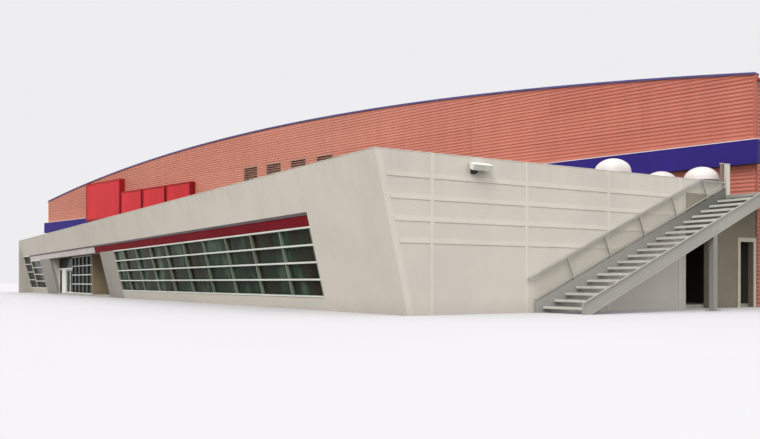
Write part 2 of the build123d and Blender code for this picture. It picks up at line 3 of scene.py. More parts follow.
import bmesh
import bpy
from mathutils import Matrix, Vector


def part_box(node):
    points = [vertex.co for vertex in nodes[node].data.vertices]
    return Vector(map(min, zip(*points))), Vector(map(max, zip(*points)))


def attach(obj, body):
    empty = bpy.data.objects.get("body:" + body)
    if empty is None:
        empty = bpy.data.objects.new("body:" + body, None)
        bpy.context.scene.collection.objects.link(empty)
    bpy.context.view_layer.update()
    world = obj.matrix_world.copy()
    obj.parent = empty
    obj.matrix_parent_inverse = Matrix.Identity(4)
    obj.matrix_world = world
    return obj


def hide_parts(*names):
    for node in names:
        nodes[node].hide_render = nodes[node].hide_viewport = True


# Looks of the supermarket building, in metres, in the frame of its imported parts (half of real size)

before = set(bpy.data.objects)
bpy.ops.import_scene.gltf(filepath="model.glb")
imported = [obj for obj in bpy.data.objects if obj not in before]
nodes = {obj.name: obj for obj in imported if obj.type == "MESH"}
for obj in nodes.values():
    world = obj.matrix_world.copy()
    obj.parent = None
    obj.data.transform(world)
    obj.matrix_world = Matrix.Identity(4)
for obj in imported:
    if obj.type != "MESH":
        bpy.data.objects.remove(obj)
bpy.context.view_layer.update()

# Hall, as its parts have it
EAVE = 5.05
CROWN_SHIFT = 1.22
HALL_WALL = 0.15
ROOF_DROP = 0.06
BAND_OVERHANG = 0.11
COPING_HEIGHT = 0.05
COPING_OVERHANG = 0.04
LOUVRE_FIRST = 14.65
LOUVRE_PITCH = 1.435
LOUVRE_WIDTH = 0.925
LOUVRE_COUNT = 4
SIGN_LEFT = 5.0
SIGN_HIGH_WIDTH = 3.4
SIGN_LOW_WIDTH = 6.0
SIGN_LOW_BOXES = 3
SIGN_LOW_TOP = 4.74
SIGN_GAP = 0.14
SIGN_RIM = 0.07
SIGN_RECESS = 0.03

# Low front volume with its glazing and entrance, as its parts have it
LEAN = math.radians(13.4)
SIDE_LENGTH = 9.37
LEFT_END_DEPTH = 0.9
FRONT_WALL = 0.125
FRONT_TOP = 2.72
FRONT_ROOF_TOP = 2.43
FLOOR_TOP = 0.075
GLASS_SILL = 0.25
GLASS_HEAD = 1.63
GLASS_ROWS = 4
BAR = 0.044
FASCIA_TOP = 1.895
FASCIA_RECESS = 0.015
SHOP_RIGHT = 2.8
SHOP_BAY = 1.52
SHOP_END_BAY = 1.11
PORCH_PIER_WIDTH = 1.92
PORCH_WIDTH = 3.06
PORCH_WALL = 0.1
SCREEN_WIDTH = 3.71
SCREEN_FRONT = 0.06
DOORWAY_WIDTH = 1.42
PANEL_WIDTHS = 1.35
FAR_PIER_WIDTH = 2.38
FAR_BAY_WIDTH = 2.58
LAST_BAY_WIDTH = 2.09
LEAF_FRONT = 0.116
LEAF_DEPTH = 0.025
LEAF_HEIGHT = 1.02
LEAF_RUNNING = 0.006
PARAPET_END_START = 1.34
POST_TOP = 3.125
POST_DEPTH = 0.06
LAMP_CENTRE = 1.46
LAMP_WIDTH = 0.42
LAMP_HEIGHT = 0.15
LAMP_TOP = 2.63
DOME_RADIUS = 0.37
KERB_HEIGHT = 0.4
DOME_PLACES = ((0.73, 3.77), (1.55, 1.3), (0.57, 1.14))

# Stair, as its parts have it
STAIR_TOP_START = 1.17
STAIR_GAP = 0.03
STAIR_WIDTH = 1.2
RISERS = 20
GOING = 0.278
TREAD_LIP = 0.048
STRINGER_THICK = 0.04
STRINGER_DEPTH = 0.255
STRINGER_ABOVE = 0.14
STRINGER_LEAD = 0.15
LANDING_PAST_CORNER = 0.25
LANDING_THICK = 0.07
COLUMN_START = 3.2
COLUMN_SIZE = 0.17
GUARD_HEIGHT = 0.47
GUARD_RAIL = 0.034
GUARD_TOP = 2.72
GUARD_INSET = 0.006

# Slimmer sections, ribs, sheets and wires that only this script makes
COLUMN_SHOWN = 0.11
STUB_LENGTH = 0.15
FIRST_POST = 0.05
POST_GAP = 0.1
SECOND_POST = 0.12
RIB_PITCH = 0.09
RIB_TOP = 0.03
RIB_SIDE = 0.016
RIB_DEPTH = 0.015
RIB_SEAT = 0.002
RIBS_BELOW_EAVE = 0.12
WALL_FOOT = 0.04
CLADDING_SHEET = (5.4, 8 * RIB_PITCH)
ROOF_SHEET = (12.4, 0.3)
FELT_STRIP = (6.0, 0.5)
COPING_SHEET = 3.0
BAND_SHEET = 3.0
CAP_SHEET = 1.5
LAP_HALF = 0.02
LAP_THICK = 0.003
TRIM_SEAT = 0.001
MESH_WIRE = 0.0025
MESH_PITCH = 0.025
MESH_ROD_PITCH = 0.1
LANDING_BAR_PITCH = 0.03

gable_low, gable_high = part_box("hall_front_gable")
band_low, band_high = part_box("blue_band")
louvre_low, louvre_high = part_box("gable_louvres")
end_wall_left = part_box("left_end_wall")[0].x
hall_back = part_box("hall_rear_wall")[1].y
hall_middle = (gable_low.x + gable_high.x) / 2
half_width = (gable_high.x - gable_low.x) / 2
hall_depth = hall_back - gable_low.y
band_reach = half_width + BAND_OVERHANG
crown = gable_high.z
arch_radius = (half_width**2 + (crown - EAVE) ** 2) / (2 * (crown - EAVE))

# The front volume is a wedge: its facade is turned by the skew from the hall's gable
skew = math.asin(SIDE_LENGTH / math.hypot(2 * half_width, LEFT_END_DEPTH))
skew -= math.atan2(LEFT_END_DEPTH, 2 * half_width)
front_length = 2 * half_width * math.cos(skew) - LEFT_END_DEPTH * math.sin(skew)
ALONG = Vector((math.cos(skew), -math.sin(skew), 0))
INWARD = Vector((math.sin(skew), math.cos(skew), 0))
UP = Vector((0, 0, 1))
hall_corner = Vector((gable_high.x, gable_low.y, 0))
near_corner = hall_corner - INWARD * SIDE_LENGTH

# Places along the facade, left of the near corner
last_bay = front_length - LAST_BAY_WIDTH
pier_left = last_bay - FAR_BAY_WIDTH
entrance_left = pier_left - FAR_PIER_WIDTH
door_left = entrance_left - PANEL_WIDTHS
door_right = door_left - DOORWAY_WIDTH
porch_left = door_right - SCREEN_WIDTH
shop_left = porch_left - PORCH_WIDTH - PORCH_PIER_WIDTH

# Places along the side wall, inwards from the near corner
parapet_end = SIDE_LENGTH - PARAPET_END_START
stub_end = parapet_end + STUB_LENGTH
first_post_end = stub_end + FIRST_POST
second_post_start = first_post_end + POST_GAP
access_posts = (
    (parapet_end, stub_end, FRONT_TOP),
    (stub_end, first_post_end, POST_TOP),
    (second_post_start, second_post_start + SECOND_POST, POST_TOP),
)
rise = FRONT_ROOF_TOP / RISERS
slope = rise / GOING
stair_top = SIDE_LENGTH - STAIR_TOP_START
stair_foot = stair_top - (RISERS - 1) * GOING
stair_outer = STAIR_GAP + STAIR_WIDTH
landing_end = SIDE_LENGTH + LANDING_PAST_CORNER
column_ends = (SIDE_LENGTH - COLUMN_START + COLUMN_SIZE, landing_end)


def arch(place):
    """Height of the gable's arched edge at a place right of the hall's middle."""
    return crown - arch_radius + math.sqrt(arch_radius**2 - (place - CROWN_SHIFT) ** 2)


def arch_ends(height):
    """Left and right ends, from the hall's middle, of a level line across the gable at a height."""
    reach = math.sqrt(max(0.0, arch_radius**2 - (min(height, crown) - crown + arch_radius) ** 2))
    return max(-half_width, CROWN_SHIFT - reach), min(half_width, CROWN_SHIFT + reach)


def roof_line(place):
    """Height of the roof between the gables' copings."""
    return arch(place) - ROOF_DROP


def stringer_edge(place):
    """Height of the stringers' upper edge at a place along the side wall."""
    return (place - stair_foot) * slope + rise + STRINGER_ABOVE


def around(middle, half):
    """A span about a middle."""
    return middle - half, middle + half


def evenly(start, end, pitch):
    """Places from start to end, both included, in even steps close to a pitch."""
    count = round((end - start) / pitch)
    return [start + number * (end - start) / count for number in range(count + 1)]


# Points on the building. Each function takes a distance along a wall, a depth and a height
def on_gable(place, depth, height):
    """Front gable: place right of the middle, depth out of the face."""
    return Vector((hall_middle + place, gable_low.y - depth, height))


def on_rear(place, depth, height):
    """Rear gable, with its places right of the middle as at the front."""
    return Vector((hall_middle + place, hall_back + depth, height))


def on_right(place, depth, height):
    """Right side wall of the hall, its places run from the front."""
    return Vector((gable_high.x + depth, gable_low.y + place, height))


def on_left(place, depth, height):
    """Left side wall of the hall, its places run from the front."""
    return Vector((gable_low.x - depth, gable_low.y + place, height))


def on_front_level(distance, behind, height):
    """Upright planes of the entrance: distance left of the near corner, behind the facade's foot."""
    return near_corner - ALONG * distance + INWARD * behind + UP * height


def on_front(distance, behind, height):
    """Leaning facade: distance left of the near corner, depth behind its face."""
    return on_front_level(distance, behind - height * math.tan(LEAN), height)


def on_side(place, out, height):
    """Low side wall: place inwards from the near corner, depth out of its face."""
    return near_corner + INWARD * place + ALONG * out + UP * height


def add_object(name, data):
    item = bpy.data.objects.new(name, data)
    bpy.context.scene.collection.objects.link(item)
    return item


class Shape:
    """Points and faces of one piece, gathered before its mesh is made."""

    def __init__(self, name):
        self.name = name
        self.points = []
        self.faces = []

    def loft(self, *rings):
        """A closed solid through rings of points, with a face over the first and the last."""
        size = len(rings[0])
        first = len(self.points)
        for ring in rings:
            self.points.extend(ring)
        for step in range(len(rings) - 1):
            self.join(size, first + step * size, first + (step + 1) * size)
        last = first + (len(rings) - 1) * size
        self.faces.append(tuple(first + i for i in reversed(range(size))))
        self.faces.append(tuple(last + i for i in range(size)))

    def join(self, size, here, there):
        """Faces between two rings of a size, given by their first points."""
        for i in range(size):
            j = (i + 1) % size
            self.faces.append((here + i, here + j, there + j, there + i))

    def prism(self, place, outline, stations, base=lambda at: 0.0):
        """An outline of (depth, height) points, carried through stations along a wall over a base line."""
        self.loft(*([place(at, depth, base(at) + height) for depth, height in outline] for at in stations))

    def block(self, place, stations, deep, high, base=lambda at: 0.0):
        """As a prism, with a rectangle from one depth and height to another."""
        outline = [(deep[0], high[0]), (deep[1], high[0]), (deep[1], high[1]), (deep[0], high[1])]
        self.prism(place, outline, stations, base)

    def ring(self, centre, profile, sides):
        """A closed ring about an upright axis, from a profile of (radius, height) points."""
        first, size = len(self.points), len(profile)
        for side in range(sides):
            angle = 2 * math.pi * side / sides
            for radius, height in profile:
                spoke = Vector((math.cos(angle), math.sin(angle), 0)) * radius
                self.points.append(centre + spoke + UP * height)
        for side in range(sides):
            self.join(size, first + side * size, first + (side + 1) % sides * size)

    def make(self, look, slot, body="building", bevel=0.0):
        mesh = bpy.data.meshes.new(self.name)
        mesh.from_pydata([tuple(point) for point in self.points], [], self.faces)
        solid = bmesh.new()
        solid.from_mesh(mesh)
        bmesh.ops.recalc_face_normals(solid, faces=solid.faces)
        solid.to_mesh(mesh)
        solid.free()
        mesh.materials.append(look)
        piece = add_object(self.name, mesh)
        if bevel:
            edges = piece.modifiers.new("edges", "BEVEL")
            edges.width, edges.segments, edges.limit_method = bevel, 2, "ANGLE"
        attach(piece, body)
        return piece


# Materials
def paint(red, green, blue):
    """A colour given as it looks on a screen, as the renderer wants it."""

    def linear(value):
        value /= 255
        return value / 12.92 if value <= 0.04045 else ((value + 0.055) / 1.055) ** 2.4

    return (linear(red), linear(green), linear(blue), 1.0)


def add_node(tree, kind, inputs=None, **settings):
    """A node with these settings, each of its inputs linked to a socket or set to a value."""
    node = tree.nodes.new(kind)
    for key, value in settings.items():
        setattr(node, key, value)
    for key, value in (inputs or {}).items():
        if isinstance(value, bpy.types.NodeSocket):
            tree.links.new(value, node.inputs[key])
        else:
            node.inputs[key].default_value = value
    return node


class Look:
    """A material under construction: a principled shader and short ways to add nodes."""

    def __init__(self, name, roughness=0.6, metallic=0.0, specular=0.5):
        self.material = bpy.data.materials.new(name)
        self.material.use_nodes = True
        self.tree = self.material.node_tree
        self.shader = self.tree.nodes["Principled BSDF"]
        self.shader.inputs["Roughness"].default_value = roughness
        self.shader.inputs["Metallic"].default_value = metallic
        self.shader.inputs["Specular IOR Level"].default_value = specular
        self.place = self.add("ShaderNodeTexCoord").outputs["Object"]
        self.x, self.y, self.z = self.add("ShaderNodeSeparateXYZ", {"Vector": self.place}).outputs

    def add(self, kind, inputs=None, **settings):
        return add_node(self.tree, kind, inputs, **settings)

    def maths(self, operation, first, second=0.0):
        return self.add("ShaderNodeMath", {0: first, 1: second}, operation=operation).outputs[0]

    def wall_place(self):
        """Distance along any upright wall and height, as a flat pattern's place."""
        along = self.maths("ADD", self.x, self.y)
        return self.add("ShaderNodeCombineXYZ", {0: along, 1: self.z}).outputs[0]

    def along(self, origin, direction):
        """Distance from an upright line, in a level direction."""
        share = [self.maths("MULTIPLY", axis, part) for axis, part in zip((self.x, self.y), direction)]
        return self.maths("SUBTRACT", self.maths("ADD", *share), origin.dot(direction))

    def span(self, value, start, end, low=0.0, high=1.0):
        """A number from low to high, while the value goes from start to end."""
        limits = {"From Min": start, "From Max": end, "To Min": low, "To Max": high}
        return self.add("ShaderNodeMapRange", {"Value": value, **limits}).outputs[0]

    def noise(self, scale, stretch=(1, 1, 1), detail=4.0, roughness=0.55):
        mapped = self.add("ShaderNodeMapping", {"Vector": self.place, "Scale": stretch})
        settings = {"Vector": mapped.outputs[0], "Scale": scale, "Detail": detail, "Roughness": roughness}
        return self.add("ShaderNodeTexNoise", settings).outputs["Fac"]

    def ramp(self, value, *stops):
        """Colours or grey levels at places from 0 to 1."""
        node = self.add("ShaderNodeValToRGB", {"Fac": value})
        elements = node.color_ramp.elements
        while len(elements) < len(stops):
            elements.new(1.0)
        for element, (place, colour) in zip(elements, stops):
            element.position = place
            element.color = colour if isinstance(colour, tuple) else (colour, colour, colour, 1.0)
        return node.outputs["Color"]

    def patches(self, first, second):
        """Two colours or grey levels in broad soft patches."""
        return self.ramp(self.noise(0.45, detail=5.0), (0.35, first), (0.7, second))

    def sheets(self, place, size, lap, tones, smooth=0.1):
        """Sheets of a length and height in two tones, with the third tone at their laps."""
        first, second, between = (paint(*tone) for tone in tones)
        settings = {
            "Vector": place,
            "Color1": first,
            "Color2": second,
            "Mortar": between,
            "Scale": 1.0,
            "Mortar Size": lap,
            "Mortar Smooth": smooth,
            "Brick Width": size[0],
            "Row Height": size[1],
        }
        return self.add("ShaderNodeTexBrick", settings).outputs["Color"]

    def mix(self, factor, first, second, blend="MIX"):
        inputs = {0: factor, 6: first, 7: second}
        return self.add("ShaderNodeMix", inputs, data_type="RGBA", blend_type=blend).outputs[2]

    def colour(self, socket):
        self.tree.links.new(socket, self.shader.inputs["Base Color"])

    def rough(self, socket, low, high):
        self.tree.links.new(self.span(socket, 0.0, 1.0, low, high), self.shader.inputs["Roughness"])

    def bump(self, height, distance, strength=1.0):
        node = self.add("ShaderNodeBump", {"Height": height, "Distance": distance, "Strength": strength})
        self.tree.links.new(node.outputs[0], self.shader.inputs["Normal"])

    def grain(self, scale, low, high, depth):
        """A fine grain in the roughness, from low to high, and in the relief."""
        grains = self.noise(scale, detail=6.0, roughness=0.65)
        self.rough(grains, low, high)
        self.bump(grains, depth, 0.5)


def weathered(name, base, shade, roughness=0.6, metallic=0.0, specular=0.5, grain=30.0, depth=0.002):
    """A surface of two close tones, with faint rain streaks down it and a fine grain."""
    look = Look(name, roughness, metallic, specular)
    patches = look.patches(paint(*base), paint(*shade))
    streaks = look.ramp(look.noise(2.6, (1, 1, 0.06), 3.0), (0.42, 0.86), (0.62, 1.0))
    look.colour(look.mix(0.6, patches, streaks, "MULTIPLY"))
    look.grain(grain, roughness - 0.08, roughness + 0.12, depth)
    return look.material


def cladding_look():
    """Ribbed sheet: each sheet a little off in tone, painted shade in its valleys under the ribs, dust to
    the left, rain streaks.
    """
    dust_start, dust_full = 14.0, 2.0
    look = Look("ribbed_cladding", 0.62, 0.0, 0.35)
    tones = (194, 117, 99), (186, 108, 91), (164, 86, 70)
    colour = look.sheets(look.wall_place(), CLADDING_SHEET, 0.006, tones)
    faded = look.ramp(look.noise(0.25, detail=5.0), (0.35, 0.93), (0.65, 1.0))
    colour = look.mix(1.0, colour, faded, "MULTIPLY")
    # Painted shade: the flat between two ribs darkens towards the foot of the rib above it
    turn = look.maths("FRACT", look.maths("DIVIDE", look.z, RIB_PITCH))
    rib_share = (RIB_TOP + 2 * RIB_SIDE) / RIB_PITCH
    valley_painted_shade = look.ramp(turn, (rib_share - 0.04, 1.0), (rib_share + 0.04, 0.88), (0.97, 0.84), (1.0, 1.0))
    colour = look.mix(0.6, colour, valley_painted_shade, "MULTIPLY")
    dusty = look.span(look.x, dust_start, dust_full, high=0.22)
    colour = look.mix(dusty, colour, paint(194, 155, 135))
    streaks = look.ramp(look.noise(3.2, (1, 1, 0.05), 3.0), (0.4, 0.8), (0.6, 1.0))
    look.colour(look.mix(0.3, colour, streaks, "MULTIPLY"))
    look.bump(look.noise(60.0), 0.001, 0.3)
    return look.material


def plaster_look(name, base, shade, far_painted_shade=1.0):
    """Painted plaster: trowel mottling, stains under the top edge, splash near the ground.

    Towards the facade's far end the wall is greyer and darker, down to the far share given, as painted
    shade.
    """
    stain_foot, fade_start, fade_end = 1.7, 6.0, 19.0
    look = Look(name, 0.82, 0.0, 0.2)
    mottled = look.noise(0.7, detail=7.0, roughness=0.6)
    colour = look.ramp(mottled, (0.3, paint(*shade)), (0.55, paint(*base)), (0.75, paint(*base)))
    streaks = look.ramp(look.noise(4.5, (1, 1, 0.05), 4.0), (0.36, 0.84), (0.56, 1.0))
    stained = look.maths("MULTIPLY", look.span(look.z, stain_foot, FRONT_TOP), 0.28)
    colour = look.mix(stained, colour, streaks, "MULTIPLY")
    splash = look.maths("ADD", look.z, look.maths("MULTIPLY", look.noise(3.0), 0.25))
    colour = look.mix(0.8, colour, look.ramp(splash, (0.12, 0.86), (0.42, 1.0)), "MULTIPLY")
    # Painted shade: darker towards the facade's far end
    if far_painted_shade < 1:
        far = look.span(look.along(near_corner, -ALONG), fade_start, fade_end)
        colour = look.mix(1.0, colour, look.ramp(far, (0.0, 1.0), (1.0, far_painted_shade)), "MULTIPLY")
    look.colour(colour)
    grains = look.noise(45.0, detail=8.0, roughness=0.7)
    look.rough(grains, 0.75, 0.92)
    look.bump(grains, 0.003, 0.6)
    return look.material


def glass_look(name, clear, *tones):
    """Tinted glass: dull reflections in upright patches of these tones, with a share seen through."""
    look = Look(name, 0.12, 0.0, 0.1)
    look.shader.inputs["IOR"].default_value = 1.2
    patches = look.noise(1.1, (1, 1, 0.4), 3.0, 0.5)
    stops = zip((0.32, 0.43, 0.52, 0.60, 0.70), tones)
    look.colour(look.ramp(patches, *((place, paint(*tone)) for place, tone in stops)))
    look.rough(look.noise(5.0), 0.03, 0.1)
    through = look.add("ShaderNodeBsdfTransparent", {"Color": paint(120, 150, 132)})
    both = look.add("ShaderNodeMixShader", {0: clear, 1: look.shader.outputs[0], 2: through.outputs[0]})
    look.tree.links.new(both.outputs[0], look.tree.nodes["Material Output"].inputs["Surface"])
    return look.material


def stringer_look(outer, low, high):
    """Painted steel of the stringers: the one beside the wall darkens from its foot to its top, as painted
    shade.
    """
    look = Look("stringer_metal", 0.5, 0.2, 0.5)
    is_outer = look.maths("GREATER_THAN", look.along(near_corner, ALONG), stair_outer / 2)
    height = look.maths("DIVIDE", look.z, FRONT_TOP)
    # Painted shade: the wall-side stringer darkens with height towards the roof and landing
    wall_side_painted_shade = look.ramp(height, (0.45, paint(*low)), (0.8, paint(*high)))
    colour = look.mix(is_outer, wall_side_painted_shade, paint(*outer))
    look.colour(look.mix(1.0, colour, look.patches(1.0, 0.86), "MULTIPLY"))
    look.grain(30.0, 0.42, 0.62, 0.002)
    return look.material


def post_look(start, end):
    """Plaster of the posts at the roof access, dull brown from one place along the wall to another."""
    look = Look("post_plaster", 0.75, 0.0, 0.25)
    place = look.along(near_corner, INWARD)
    past_start, past_end = (look.maths("GREATER_THAN", place, edge) for edge in (start, end))
    is_brown = look.maths("SUBTRACT", past_start, past_end)
    colour = look.mix(is_brown, paint(205, 199, 190), paint(124, 108, 97))
    look.colour(look.mix(1.0, colour, look.patches(1.0, 0.93), "MULTIPLY"))
    look.grain(30.0, 0.66, 0.86, 0.002)
    return look.material


def roof_look():
    """Roof sheets between their seams, each a little off in tone, with dirt washed down to the eaves."""
    look = Look("roof_sheet", 0.5, 0.2, 0.4)
    tones = (182, 183, 180), (166, 168, 165), (112, 114, 112)
    sheets = look.sheets(look.place, ROOF_SHEET, 0.012, tones, smooth=0.3)
    washed = look.ramp(look.noise(0.6, (0.2, 1.6, 1), 6.0, 0.62), (0.36, 0.84), (0.6, 1.0))
    look.colour(look.mix(0.8, sheets, washed, "MULTIPLY"))
    look.rough(look.noise(3.0), 0.42, 0.62)
    look.bump(look.noise(25.0, detail=5.0), 0.002, 0.4)
    return look.material


def membrane_look():
    """Roofing felt in lapped strips, with ponding stains."""
    look = Look("roof_membrane", 0.9, 0.0, 0.2)
    tones = (168, 166, 160), (158, 157, 152), (132, 131, 126)
    strips = look.sheets(look.place, FELT_STRIP, 0.008, tones)
    stains = look.ramp(look.noise(0.5, detail=6.0), (0.35, 0.78), (0.6, 1.0))
    look.colour(look.mix(0.8, strips, stains, "MULTIPLY"))
    look.bump(look.noise(80.0, detail=6.0), 0.003, 0.6)
    return look.material


cladding = cladding_look()
# Facade plaster and its piers: painted shade darkens them towards the facade's far end
plaster = plaster_look("painted_plaster", (212, 205, 195), (203, 196, 187), 0.84)
pier_plaster = plaster_look("pier_plaster", (212, 205, 195), (203, 196, 187), 0.48)
side_plaster = plaster_look("side_plaster", (205, 199, 190), (197, 191, 183))
pale_plaster = plaster_look("raised_plaster", (213, 206, 196), (205, 198, 188))
# The plain plaster darkened as painted shade, for the porch niche's walls and soffit
porch_shaded_plaster = plaster_look("porch_shaded_plaster", (146, 134, 109), (132, 121, 98))
# The side wall's plaster darkened as painted shade, for the wall under the stair and landing
under_landing_shaded_plaster = plaster_look("under_landing_shaded_plaster", (138, 131, 115), (125, 119, 104))
post_plaster = post_look(stub_end - TRIM_SEAT, first_post_end + POST_GAP / 2)
membrane = membrane_look()
roof_sheet = roof_look()
seam_metal = weathered("seam_metal", (206, 207, 204), (190, 191, 189), 0.45, 0.2)
concrete = weathered("concrete", (172, 168, 158), (150, 147, 139), 0.85, 0.0, 0.2, 50.0, 0.003)
blue_metal = weathered("blue_metal", (47, 32, 120), (41, 28, 108), 0.55, 0.0, 0.15)
coping_metal = weathered("coping_metal", (84, 76, 128), (70, 62, 112), 0.5, 0.0, 0.3)
white_metal = weathered("white_metal", (228, 229, 223), (214, 216, 209), 0.42)
louvre_metal = weathered("louvre_metal", (172, 130, 114), (156, 118, 103), 0.6)
louvre_backing = weathered("louvre_backing", (214, 176, 158), (200, 163, 146), 0.8)
sign_side = weathered("sign_side", (160, 26, 32), (134, 18, 24), 0.5, 0.0, 0.2)
sign_face = weathered("sign_face", (196, 46, 52), (182, 38, 45), 0.5, 0.0, 0.15)
fascia_red = weathered("fascia_red", (122, 27, 36), (108, 22, 31), 0.7, 0.0, 0.05)
fascia_pale = weathered("fascia_pale", (200, 190, 186), (182, 172, 170), 0.45)
galvanised = weathered("galvanised", (174, 172, 165), (157, 155, 148), 0.5, 0.2)
stringer_metal = stringer_look((166, 164, 157), (160, 159, 151), (108, 109, 103))
column_paint = weathered("column_paint", (150, 148, 141), (134, 132, 126), 0.55, 0.1)
frame_cream = weathered("frame_cream", (200, 193, 174), (186, 179, 161), 0.5)
# Dark metal of small fittings; on the stair's treads its darkness is painted shade under them
dark_metal_and_tread_shade = weathered("dark_metal_and_tread_shade", (84, 86, 84), (66, 68, 67), 0.6, 0.2)
mesh_wire = weathered("mesh_wire", (196, 192, 178), (178, 175, 162), 0.6)
screen_metal = weathered("screen_metal", (54, 60, 52), (46, 51, 44), 0.55, 0.0, 0.2)
far_frame = weathered("far_frame", (182, 184, 176), (168, 170, 162), 0.5)
lamp_paint = weathered("lamp_paint", (232, 232, 228), (216, 216, 212), 0.4)
lamp_glass = weathered("lamp_glass", (222, 220, 212), (208, 206, 199), 0.2)
dark_gaskets_and_shade = weathered("dark_gaskets_and_shade", (40, 41, 40), (30, 31, 31), 0.7)
dome_shell = weathered("dome_shell", (214, 208, 205), (204, 199, 196), 0.35, 0.0, 0.3)
painted_shadow_grey = weathered("painted_shadow_grey", (104, 94, 98), (88, 80, 84), 0.6, 0.0, 0.2)
corner_metal = weathered("corner_metal", (180, 101, 86), (168, 92, 78), 0.6, 0.0, 0.2)
flashing_metal = weathered("flashing_metal", (222, 206, 206), (208, 194, 194), 0.45)
cap_metal = weathered("cap_metal", (216, 211, 201), (204, 199, 189), 0.5)
cover_metal = weathered("cover_metal", (128, 138, 122), (110, 120, 105), 0.55, 0.0, 0.2)
# Pale paint for the treads' lips: painted light
lip_highlight_paint = weathered("lip_highlight_paint", (206, 205, 198), (190, 189, 182), 0.6)
# Dark grey for the hall's front base seen through the doorways: painted shade of the dark interior
interior_painted_shade = weathered("interior_painted_shade", (84, 80, 72), (72, 69, 62), 0.85, 0.0, 0.2)
trim_white = weathered("trim_white", (250, 238, 218), (244, 230, 208), 0.5)
glass_tones = (26, 28, 24), (58, 52, 38), (44, 62, 50), (74, 92, 74), (104, 122, 100)
shade_tones = (18, 20, 16), (30, 28, 23), (30, 37, 31), (40, 48, 40), (52, 60, 50)
glass = glass_look("tinted_glass", 0.18, *glass_tones)
shaded_glass = glass_look("shaded_glass", 0.1, *shade_tones)
door_glass = glass_look("door_glass", 0.35, *glass_tones)

node_looks = {
    cladding: ["hall_front_gable", "hall_rear_wall", "hall_left_wall", "hall_right_wall"],
    roof_sheet: ["hall_roof"],
    concrete: ["hall_floor", "front_floor", "dome_kerbs"],
    interior_painted_shade: ["hall_front_base"],
    trim_white: ["gable_corner_trim"],
    blue_metal: ["blue_band"],
    coping_metal: ["gable_copings"],
    louvre_metal: ["gable_louvres"],
    sign_side: ["sign_board"],
    plaster: ["front_sills", "front_lintel", "front_upper_wall", "left_end_wall"],
    pier_plaster: ["front_piers"],
    side_plaster: ["side_wall", "side_parapet", "roof_access_posts"],
    pale_plaster: ["side_wall_grid"],
    under_landing_shaded_plaster: ["side_wall_piers", "side_wall_over_doors"],
    porch_shaded_plaster: ["porch_right_wall", "porch_back_wall", "porch_left_wall", "entrance_soffit"],
    membrane: ["front_roof"],
    dome_shell: ["roof_domes"],
    fascia_red: ["red_fascia"],
    fascia_pale: ["pale_fascia"],
    cover_metal: ["shopfront_frame"],
    glass: ["shopfront_glass"],
    far_frame: ["far_bay_frames"],
    shaded_glass: ["far_bay_glass", "entrance_glass"],
    screen_metal: ["entrance_screen"],
    white_metal: ["entrance_head", "entrance_panels", "door_leaf_left", "door_leaf_right"],
    door_glass: ["door_glass_left", "door_glass_right"],
    frame_cream: ["service_door_frame"],
    lamp_paint: ["wall_lamp"],
    galvanised: ["stair_landing", "stair_guard", "door_rail"],
    stringer_metal: ["stair_stringers"],
    column_paint: ["stair_columns"],
    dark_metal_and_tread_shade: ["stair_treads"],
    mesh_wire: ["stair_guard_mesh"],
}
for look, names in node_looks.items():
    for name in names:
        nodes[name].data.materials.clear()
        nodes[name].data.materials.append(look)

# Hall: ribs of its cladding, one piece a wall, cut at the arch, the band and the louvres
louvre_middles = [half_width - LOUVRE_FIRST - number * LOUVRE_PITCH for number in range(LOUVRE_COUNT)]
louvre_spans = [around(middle, LOUVRE_WIDTH / 2) for middle in louvre_middles]


def rib_profile(foot):
    """Section of a rib, as (depth, height) points from its foot up."""
    return [
        (-RIB_SEAT, foot),
        (RIB_DEPTH, foot + RIB_SIDE),
        (RIB_DEPTH, foot + RIB_SIDE + RIB_TOP),
        (-RIB_SEAT, foot + 2 * RIB_SIDE + RIB_TOP),
    ]


def gable_ribs(name, place, spans_at):
    """Ribs at every pitch up a gable, over the spans that spans_at gives for a rib's two heights."""
    shape = Shape(name)
    for number in range(int(crown / RIB_PITCH)):
        profile = rib_profile(number * RIB_PITCH)
        for left, right in spans_at(profile[0][1], profile[-1][1]):
            shape.loft(
                [place(max(left, arch_ends(height)[0]), depth, height) for depth, height in profile],
                [place(min(right, arch_ends(height)[1]), depth, height) for depth, height in profile],
            )
    shape.make(cladding, "cladding")


def rear_spans(low, high):
    """The whole width, outside the band and below the crown."""
    if high > crown or (low < band_high.z and high > band_low.z):
        return []
    return [(-half_width, half_width)]


def front_spans(low, high):
    """As at the rear, and clear of the low front volume and of the louvres."""
    spans = rear_spans(low, high)
    if spans and high < FRONT_ROOF_TOP:
        spans = [(-half_width, end_wall_left - hall_middle)]
    elif spans and high >= louvre_low.z and low <= louvre_high.z:
        lefts = [right for left, right in louvre_spans] + [-half_width]
        rights = [half_width] + [left for left, right in louvre_spans]
        spans = list(zip(lefts, rights))
    return spans


def side_ribs(name, place, top):
    """Ribs at every pitch up a side wall of the hall, from its front to its rear."""
    shape = Shape(name)
    for number in range(int((top - RIBS_BELOW_EAVE) / RIB_PITCH)):
        shape.prism(place, rib_profile(number * RIB_PITCH), (0.0, hall_depth))
    shape.make(cladding, "cladding")


gable_ribs("front_cladding_ribs", on_gable, front_spans)
gable_ribs("rear_cladding_ribs", on_rear, rear_spans)
side_ribs("right_cladding_ribs", on_right, arch(half_width))
side_ribs("left_cladding_ribs", on_left, arch(-half_width))


